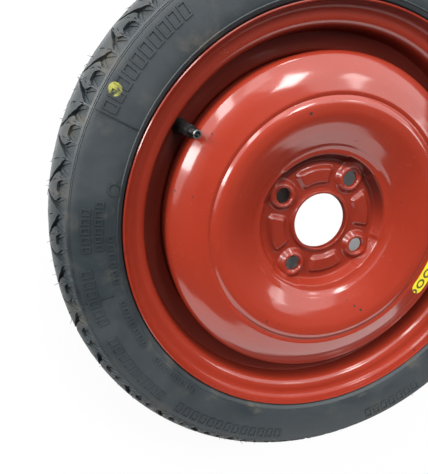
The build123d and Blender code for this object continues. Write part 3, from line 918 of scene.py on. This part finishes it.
# %% Tyre, made of its pitches
STRIP_JOIN = 2e-6
TYRE_SHARP = 14.0
tyre_rubber = finish_mesh("tyre_rubber", strip_vertices, strip_faces, sharp=180)
tyre_inputs = {"Count": PITCHES, "Step": pitch_angle, "Join": STRIP_JOIN, "Material": rubber.material}
run_tree(tyre_rubber, repeat_round, **tyre_inputs)
open_edges = mend(tyre_rubber.data)
shade(tyre_rubber.data, TYRE_SHARP)
triangles = sum(len(p.vertices) - 2 for p in tyre_rubber.data.polygons)
print("tyre:", triangles, "triangles,", open_edges, "open edges")

# %% [markdown]
# The mould leaves more than the tread. Joints between its segments show as thin radial lines, and
# plain raised frames stand in rows round the sidewall, with one ring. They could be bump alone, but a
# raised edge catches light from the side, so each frame is a real line between two outlines laid on
# the sidewall, and each row is one drawn frame repeated by the same tree.

# %% Raised frames and joints on the sidewall
LINE_H = 0.8
LINE_SINK = 0.4  # below the rubber's surface, so that no gap shows
LINE_W = 1.2
LINE_SHARP = 30.0
RING_PLACE = (204.2, 20.7)  # radius, angle
RING_OUT, RING_IN = 5.4, 4.4
RING_POINTS = 28
JOINTS = ((218.8, 6.5, 19.0), (223.5, 45.8, 14.0))  # radius, angle, half length
JOINT_OUT, JOINT_IN = 0.45, 0.15
JOINT_POINTS = 16
# radius, angle of the first frame, step (degrees), count, half length, half height
FRAME_ROWS = (
    (226.0, -17.6, 2.5, 10, 3.7, 5.8),
    (224.3, 26.2, 2.0, 5, 2.8, 3.8), (213.8, 24.4, 1.9, 6, 2.6, 3.3),
    (204.6, 32.0, 2.1, 6, 2.5, 2.7), (204.6, 48.5, 2.1, 7, 2.5, 2.7), (204.6, 67.0, 2.1, 8, 2.5, 2.7),
    (226.8, 39.6, 2.3, 6, 3.2, 4.8), (226.8, 56.6, 2.4, 9, 3.4, 4.8), (226.8, 82.0, 2.5, 13, 3.5, 5.2),
    (227.0, 139.8, 2.6, 7, 3.7, 5.4),
)
wall_z = [p.y + MIDDLE_Z for p in fine_profile[::-1]]


def raised_line(name, outer, inner, middle, place):
    """A raised line between two outlines of (along, across), at a radius and an angle of the sidewall."""
    vertices = []
    for out_point, in_point in zip(outer, inner):
        low, high = -LINE_SINK, LINE_H
        for (along, across), lift in ((out_point, low), (out_point, high), (in_point, high), (in_point, low)):
            r = middle + across
            height = np.interp(r, wall_r, wall_z) + lift
            vertices.append(at(r, math.radians(place) + along / middle, height))
    return finish_mesh(name, vertices, ring_faces(4, len(outer)), sharp=LINE_SHARP)


def ring(radius):
    """Outline of a ring."""
    turns = [math.tau * k / RING_POINTS for k in range(RING_POINTS)]
    return [(radius * math.cos(a), radius * math.sin(a)) for a in turns]


def rectangle(half_along, half_across, rows=2):
    """Outline of a rectangle, with more points along its sides when it is long."""
    side = np.linspace(-half_across, half_across, rows)
    return [(half_along, y) for y in side] + [(-half_along, y) for y in side[::-1]]


marks = [raised_line("ring", ring(RING_OUT), ring(RING_IN), *RING_PLACE)]
for r, place, half in JOINTS:
    outside = rectangle(JOINT_OUT, half, JOINT_POINTS)
    inside = rectangle(JOINT_IN, half - JOINT_OUT + JOINT_IN, JOINT_POINTS)
    marks.append(raised_line("joint", outside, inside, r, place))
for r, first, step, count, half_along, half_across in FRAME_ROWS:
    inside = rectangle(half_along - LINE_W, half_across - LINE_W)
    one = raised_line("frame", rectangle(half_along, half_across), inside, r, first)
    row_inputs = {"Count": count, "Step": math.radians(step), "Join": 0.0, "Material": rubber.material}
    marks.append(run_tree(one, repeat_round, **row_inputs))
work = bmesh.new()
for mark in marks:
    work.from_mesh(mark.data)
    bpy.data.objects.remove(mark)
sidewall_marks = finish_mesh("sidewall_marks", [], [])
work.to_mesh(sidewall_marks.data)
work.free()
shade(sidewall_marks.data, LINE_SHARP)
print("sidewall:", sum(row[3] for row in FRAME_ROWS), "frames,", len(sidewall_marks.data.polygons), "faces")

# %% [markdown]
# A mould has hundreds of fine vents that let the air out, and rubber creeps into each of them. On a
# tyre that has hardly run the hairs still stand on the tread. A particle system could grow them too.
# Here a tree scatters short cones over the tread's faces with a fixed seed, each along the surface's
# normal with a lean of its own, and leaves plain mesh.

# %% Geometry Nodes: vent hairs
HAIR_SIDES = 4
HAIR_TIP = 0.0001
HAIR_FOOT = 0.00028
HAIR_LEAN = ((-0.5, -0.5, 0.0), (0.5, 0.5, 3.0))
HAIR_SIZES = (0.5, 1.3)


def hair_tree(name):
    """Tree with the inputs Density, Length, Start and Seed: hairs where the radius is over Start."""
    tree, given = new_tree(name, Density="Float", Length="Float", Start="Float", Seed="Int")
    seed = {"Seed": given["Seed"]}
    place = tree_node(tree, "GeometryNodeInputPosition", {})
    flat = tree_node(tree, "ShaderNodeVectorMath", {0: place, 1: (1, 1, 0)}, operation="MULTIPLY")
    far = tree_node(tree, "ShaderNodeVectorMath", {0: flat}, "Value", operation="LENGTH")
    on_tread = tree_node(tree, "ShaderNodeMath", {0: far, 1: given["Start"]}, operation="GREATER_THAN")
    spread = {"Mesh": given["Geometry"], "Selection": on_tread, "Density": given["Density"], **seed}
    points = tree_node(tree, "GeometryNodeDistributePointsOnFaces", spread, "Points")
    ends = {0: HAIR_LEAN[0], 1: HAIR_LEAN[1], **seed}
    lean = tree_node(tree, "FunctionNodeRandomValue", ends, data_type="FLOAT_VECTOR")
    bent = tree_node(tree, "FunctionNodeRotateRotation", {0: points.node.outputs["Rotation"], 1: lean})
    size = tree_node(tree, "FunctionNodeRandomValue", {2: HAIR_SIZES[0], 3: HAIR_SIZES[1], **seed}, 1)
    cone = {"Vertices": HAIR_SIDES, "Radius Top": HAIR_TIP, "Radius Bottom": HAIR_FOOT}
    hair = tree_node(tree, "GeometryNodeMeshCone", {**cone, "Depth": given["Length"]}, "Mesh")
    each = {"Points": points, "Instance": hair, "Rotation": bent, "Scale": size}
    copies = tree_node(tree, "GeometryNodeInstanceOnPoints", each)
    end_tree(tree, tree_node(tree, "GeometryNodeRealizeInstances", {0: copies}), given["Material"])
    return tree


vent_hairs = new_object("vent_hairs", tyre_rubber.data.copy())
hair_inputs = {"Density": 4200.0, "Length": 0.0045, "Start": SHOULDER_FOOT_R * MM, "Seed": 7}
run_tree(vent_hairs, hair_tree("vent_hairs"), Material=rubber.material, **hair_inputs)
print("hairs:", len(vent_hairs.data.polygons), "faces")

# %% [markdown]
# The valve's rubber body swells into a skirt on the rim, and two fine ribs near its top grip a
# cap. Above it the brass stem carries a fine thread, drawn as a true helix: its crest climbs by
# one pitch in a turn. A bump pattern would do from afar, but not on the stem's outline.

# %% Valve body and stem
VALVE_FOOT = -11.55
BODY_BORE = 2.92
BODY_TOP = 27.0
BODY_COLUMNS = 56
STEM_R = 3.85
STEM_BORE = 2.15
SHANK_R = 2.87
STEM_END = 39.0
STEM_CHAMFER = 0.55
STEM_COLUMNS = 40
CORE_R = 2.6
CORE_FOOT = 33.4
CORE_SEAT = 32.95
THREAD_PITCH = 0.794
THREAD_DEPTH = 0.32
THREAD_FADE = 1.2
ROWS_PER_TURN = 8
BODY_LINE = [
    (BODY_BORE, VALVE_FOOT), (5.4, VALVE_FOOT), (5.8, -11.1), (8.0, -2.9), (7.7, -2.55), (5.65, -2.55),
    (5.65, 0.35), (7.0, 0.35), (7.0, 1.6), (6.7, 2.6), (6.0, 3.8), (5.65, 5.2), (5.45, 12.0), (5.2, 19.5),
    (5.15, 20.3), (5.45, 20.7), (5.45, 21.4), (5.1, 21.8), (5.1, 22.5), (5.4, 22.9), (5.4, 23.6),
    (5.05, 24.0), (5.0, 26.4), (4.6, BODY_TOP), (BODY_BORE, BODY_TOP),
]
body_section = [Vector(p) for p in BODY_LINE]
valve_rubber = lathe("valve_rubber", body_section, BODY_COLUMNS, sharp=55, frame_of=valve_frame)
stem_rows = np.arange(BODY_TOP + 0.03, STEM_END - 0.5, THREAD_PITCH / ROWS_PER_TURN)


def stem_section(turned):
    """Section of the stem at a share of a turn, with the thread shifted by that share of its pitch."""
    outside = []
    for s in stem_rows:
        wave = abs(((s / THREAD_PITCH - turned) % 1.0) * 2 - 1)
        fade = min(1.0, (s - stem_rows[0]) / THREAD_FADE)
        outside.append((STEM_R - THREAD_DEPTH * wave * fade, s))
    lower = [(STEM_BORE, VALVE_FOOT), (SHANK_R, VALVE_FOOT), (SHANK_R, BODY_TOP - 0.1)]
    upper = [(STEM_R - STEM_CHAMFER, STEM_END), (CORE_R, STEM_END)]
    upper += [(CORE_R, CORE_FOOT), (STEM_BORE, CORE_SEAT)]
    return lower + outside + upper


stem_vertices = []
for c in range(STEM_COLUMNS):
    share = c / STEM_COLUMNS
    stem_vertices += [at(r, math.tau * share, s) for r, s in stem_section(share)]
stem_faces = ring_faces(len(stem_section(0)), STEM_COLUMNS)
valve_stem = finish_mesh("valve_thread", stem_vertices, stem_faces, sharp=30, frame_of=valve_frame)
print("valve: thread of", len(stem_rows), "rows,", len(valve_stem.data.polygons), "faces")

# %% [markdown]
# Small parts get their own finishes: black moulded rubber with a bloom of dust, brass dulled by road
# salt, and bright wire for the spring. In each of them one noise pattern steers colour and roughness
# together, because a stain changes both at once.

# %% Valve finishes
black = Finish("black_rubber", IOR=1.45, Specular_IOR_Level=0.25)
speck = black.noise(300.0, 3.0, 0.6)
black.set(Base_Color=black.mix((0.010, 0.010, 0.011, 1), (0.045, 0.042, 0.038, 1), speck.step(0.5, 0.8)))
black.set(Roughness=0.42 + 0.3 * speck.step(0.3, 0.7))
black.bump(speck, 0.0001)

brass = Finish("dull_brass", Metallic=1.0)
stain = brass.noise(420.0, 4.0, 0.65)
x, _, z = brass.parts()
up_stem = (x - VALVE_PLACE.x * MM) * valve_up.x + (z - VALVE_PLACE.z * MM) * valve_up.z
worn_end = up_stem.step(0.0378, 0.0385)
salt = brass.mix((0.030, 0.029, 0.028, 1), (0.012, 0.012, 0.013, 1), stain.step(0.38, 0.62))
bare = brass.mix((0.24, 0.25, 0.25, 1), (0.10, 0.10, 0.10, 1), stain.step(0.45, 0.70))
brass.set(Base_Color=brass.mix(salt, bare, worn_end))
brass.set(Roughness=0.30 + 0.30 * stain.step(0.35, 0.65))
brass.bump(stain, 0.00003)

wire = Finish("spring_wire", Metallic=1.0)
draw_marks = wire.noise(900.0, 2.0)
wire.set(Base_Color=wire.mix((0.52, 0.52, 0.50, 1), (0.38, 0.37, 0.35, 1), draw_marks.step(0.3, 0.7)))
wire.set(Roughness=0.22 + 0.2 * draw_marks)
print("small finishes:", [f.material.name for f in (black, brass, wire)])

# %% [markdown]
# The label is a strip of yellow film stuck to the sloping band outside the crest. Its corners are
# rounded so that they do not lift, and a row of plain dark rings runs along it. The film is a bent
# strip with a real thickness, because its edge shows as a thin line on the paint. The rings are only
# ink, so they are part of its material.

# %% Label
LABEL_ANGLE = 190.0
LABEL_LENGTH = 62.0
LABEL_WIDTH = 18.5
LABEL_T = 0.25
LABEL_CORNER = 8.0
LABEL_COLUMNS = 60
LABEL_INSET = 1.2  # from the crest's crease
LABEL_LIFT = 0.02
INK_STEP = 13.0
INK_R = 4.0
band_fall = math.atan2(BAND_START.y - BAND_BEND.y, BAND_BEND.x - BAND_START.x)
fall_cos, fall_sin = math.cos(band_fall), math.sin(band_fall)
label_r = BAND_START.x + LABEL_INSET + LABEL_WIDTH / 2 * fall_cos
label_z = BAND_START.y - (label_r - BAND_START.x) * math.tan(band_fall) + LABEL_LIFT
label_vertices, label_faces = [], []
for c in range(LABEL_COLUMNS + 1):
    along = LABEL_LENGTH * (c / LABEL_COLUMNS - 0.5)
    past = max(0.0, abs(along) - LABEL_LENGTH / 2 + LABEL_CORNER)
    half = LABEL_WIDTH / 2 - LABEL_CORNER + math.sqrt(max(0.0, LABEL_CORNER**2 - past**2))
    a = math.radians(LABEL_ANGLE) + along / label_r
    for across, up in ((-half, 0), (half, 0), (half, LABEL_T), (-half, LABEL_T)):
        r = label_r + across * fall_cos + up * fall_sin
        label_vertices.append(at(r, a, label_z - across * fall_sin + up * fall_cos))
for c in range(LABEL_COLUMNS):
    for k in range(4):
        m = (k + 1) % 4
        label_faces.append((4 * c + k, 4 * c + m, 4 * c + 4 + m, 4 * c + 4 + k))
label_faces += [(0, 1, 2, 3), tuple(4 * LABEL_COLUMNS + k for k in range(4))]
label_film = finish_mesh("label_film", label_vertices, label_faces, sharp=30)

film = Finish("yellow_film", IOR=1.45)
radius, angle, _ = film.polar()
turned = angle.math("MODULO", angle + 360.0, 360.0)
along = (turned - LABEL_ANGLE) * (label_r * math.radians(1))
across = radius - label_r
cell = along.math("FLOORED_MODULO", along, INK_STEP) - INK_STEP / 2
from_middle = (cell * cell * 0.8 + across * across * 0.75) ** 0.5
ink = (from_middle - INK_R).abs().step(1.25, 0.95)
fade = film.noise(120.0, 3.0)
film_colour = film.mix((0.80, 0.66, 0.015, 1), (0.66, 0.56, 0.03, 1), fade.step(0.35, 0.7))
film.set(Base_Color=film.mix(film_colour, (0.03, 0.028, 0.02, 1), ink * 0.92))
film.set(Roughness=0.34 + 0.2 * fade)
print("label:", len(label_film.data.polygons), "faces")

# %% [markdown]
# Each drawn piece takes one material and rides on its body, and the solid of the frame that it stands
# for is hidden. Solids whose own shape is right stay and only get a better material.


# %% Dress the frame
def dress(piece, finish):
    """Gives a piece one material."""
    piece.data.materials.clear()
    piece.data.materials.append(finish.material)


drawn = (
    (rim_steel, "rim", "paint", paint),
    (disc_steel, "disc", "paint", paint),
    (tyre_rubber, "tyre", "tyre", rubber),
    (sidewall_marks, "tyre", "tyre", rubber),
    (vent_hairs, "tyre", "tyre", rubber),
    (valve_rubber, "valve_body", "rubber", black),
    (valve_stem, "valve_stem", "brass", brass),
    (label_film, "yellow_label", "label", film),
)
for piece, node, slot, finish in drawn:
    dress(piece, finish)
    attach(piece, "wheel")
    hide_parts(node)
kept = {
    "weld_beads": paint, "core_plug": brass, "core_barrel": brass, "core_gasket": black,
    "core_pin": brass, "core_cup": brass, "cup_seal": black,
}
for node, finish in kept.items():
    dress(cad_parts[node], finish)
print("dressed:", len(drawn), "drawn pieces,", len(kept), "kept solids")

# %% [markdown]
# A spring is the one piece here that changes its shape. Its foot stands on the barrel's floor and its
# head under the pin's collar. A merged copy of its solid takes the wire finish, with its place baked
# into its mesh, and the solid is hidden.

# %% Spring
spring_coil = new_object("spring_coil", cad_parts["core_spring"].data.copy())
mend(spring_coil.data)
dress(spring_coil, wire)
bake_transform(spring_coil)
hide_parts("core_spring")

# %% [markdown]
# The wheel lies on a pale floor under soft studio light. For the camera the floor is mostly its own
# white, with a share that still takes the wheel's shadow. A shadow catcher would need a second image
# laid underneath. Mixing two shaders by the camera's rays does it in one. Where the floor is seen
# through the bore and two of the bolt holes, spots of painted light make it whiter.

# %% Floor
FLOOR_HALF = 6.0
WHITE_FROM, WHITE_FULL, WHITE_SHARE = 0.19, 0.25, 0.9
# painted light: rings of extra white on the floor under the bore and under two bolt holes
BORE_RINGS = (1.35, 1.12)  # start and end of the white under the bore, in bore radii
BOLT_RINGS = (2.6, 1.2)
BOLT_SHARES = ((math.pi, 0.2), (1.5 * math.pi, 0.075))
floor_corners = [(x * FLOOR_HALF, y * FLOOR_HALF, FLOOR_Z) for x, y in ((-1, -1), (1, -1), (1, 1), (-1, 1))]
floor_mesh = bpy.data.meshes.new("floor")
floor_mesh.from_pydata(floor_corners, [], [(0, 1, 2, 3)])
floor = new_object("floor", floor_mesh)
floor_finish = bpy.data.materials.new("pale_floor")
floor_finish.use_nodes = True
tree = floor_finish.node_tree
tree.nodes.clear()
floor_place = tree_node(tree, "ShaderNodeTexCoord", {}, "Object")


def white_round(middle, start, end, strength):
    """Share of plain white round a point of the floor, from its start radius to its end radius."""
    ends = {0: floor_place, 1: middle}
    away = tree_node(tree, "ShaderNodeVectorMath", ends, "Value", operation="DISTANCE")
    fade = {0: away, 1: start, 2: end, 3: 0.0, 4: strength}
    return tree_node(tree, "ShaderNodeMapRange", fade, interpolation_type="SMOOTHSTEP")


def white_through(hole, hole_r, rings, strength):
    """Share of painted light, plain white, where the camera sees the floor through a hole."""
    hole = Vector(hole) * MM
    ray = (FLOOR_Z - camera_place.z) / (hole.z - camera_place.z)
    start, end = (k * hole_r * MM * ray for k in rings)
    return white_round(camera_place.lerp(hole, ray), start, end, strength)


white = white_round((0, 0, FLOOR_Z), WHITE_FROM, WHITE_FULL, WHITE_SHARE)
# painted light: white spots where the camera looks through the bore and two bolt holes
painted_light_spots = [white_through((0, 0, COLLAR_H), BORE_R, BORE_RINGS, 1.0)]
for bolt_angle, share in BOLT_SHARES:
    painted_light_spots.append(white_through(at(BOLT_R, bolt_angle, DISC_T), BOLT_HOLE_R, BOLT_RINGS, share))
for spot in painted_light_spots:
    white = tree_node(tree, "ShaderNodeMath", {0: white, 1: spot}, operation="MAXIMUM")
seen = tree_node(tree, "ShaderNodeLightPath", {}, "Is Camera Ray")
amount = tree_node(tree, "ShaderNodeMath", {0: seen, 1: white}, operation="MULTIPLY")
diffuse = tree_node(tree, "ShaderNodeBsdfDiffuse", {"Color": (0.8, 0.8, 0.8, 1)})
glow = tree_node(tree, "ShaderNodeEmission", {})
blend = tree_node(tree, "ShaderNodeMixShader", {0: amount, 1: diffuse, 2: glow})
tree_node(tree, "ShaderNodeOutputMaterial", {0: blend}, None)
floor_mesh.materials.append(floor_finish)
print("floor at", round(FLOOR_Z, 4))

# %% [markdown]
# Gloss paint shows the room more than its own colour, so the lamps are laid out like a room: narrow
# windows give the bright streaks, and broad walls give the haze between them. One fill that the paint
# does not mirror lifts the shade. The sky is white for the camera alone and almost dark for the wheel.

# %% Light
world = bpy.data.worlds.new("studio")
world.use_nodes = True
sky = world.node_tree
sky.nodes.clear()
dim_sky = tree_node(sky, "ShaderNodeBackground", {"Color": (0.8, 0.86, 0.92, 1), "Strength": 0.03})
white_sky = tree_node(sky, "ShaderNodeBackground", {"Color": (1, 1, 1, 1)})
seen = tree_node(sky, "ShaderNodeLightPath", {}, "Is Camera Ray")
sky_blend = tree_node(sky, "ShaderNodeMixShader", {0: seen, 1: dim_sky, 2: white_sky})
tree_node(sky, "ShaderNodeOutputWorld", {0: sky_blend}, None)
bpy.context.scene.world = world


def panel(name, place, size, power):
    """A soft panel lamp that faces the hub, placed in the picture's upright frame, in metres."""
    lamp = bpy.data.lights.new(name, "AREA")
    lamp.shape = "RECTANGLE"
    lamp.size, lamp.size_y = size
    lamp.energy = power
    lamp_object = new_object(name, lamp)
    start = turn @ place
    facing = (-start).to_track_quat("-Z", "Y")
    lamp_object.matrix_world = Matrix.Translation(start) @ facing.to_matrix().to_4x4()
    return lamp_object


# name, direction from the axle (degrees round it and above the floor), distance, size, brightness
WINDOWS = (
    ("left_window", 159, 30, 1.8, (0.34, 1.35), 19.0),
    ("corner_window", 125, 30, 1.8, (0.28, 1.15), 12.0),
    ("pale_wall", 140, 30, 2.7, (3.9, 2.2), 2.1),
    ("right_wall", 62, 33, 2.7, (4.0, 2.2), 2.5),
    ("top_window", 80, 48, 1.9, (0.32, 0.46), 22.0),
    ("low_window", 89, 17, 1.9, (0.28, 0.45), 20.0),
    ("small_window", 16, 34, 1.9, (0.28, 0.42), 6.0),
    ("next_window", 48, 41, 1.9, (0.24, 0.26), 8.0),
    ("grey_wall", -82, 28, 2.2, (4.4, 1.0), 2.3),
    ("soft_fill", 25, 55, 2.2, (2.0, 2.0), 1.6),
)
for name, azimuth, rise, distance, size, brightness in WINDOWS:
    a, e = math.radians(azimuth), math.radians(rise)
    place = Vector(at(math.cos(e), a, math.sin(e))) * distance
    lamp = panel(name, place, size, math.pi * size[0] * size[1] * brightness)
    lamp.visible_glossy = name != "soft_fill"  # the fill lifts the shade and leaves no mirror image
    lamp.visible_diffuse = name != "grey_wall"  # the far wall only shows as a sheen
bpy.context.scene.view_settings.view_transform = "Standard"
print("light:", len(WINDOWS), "panels")
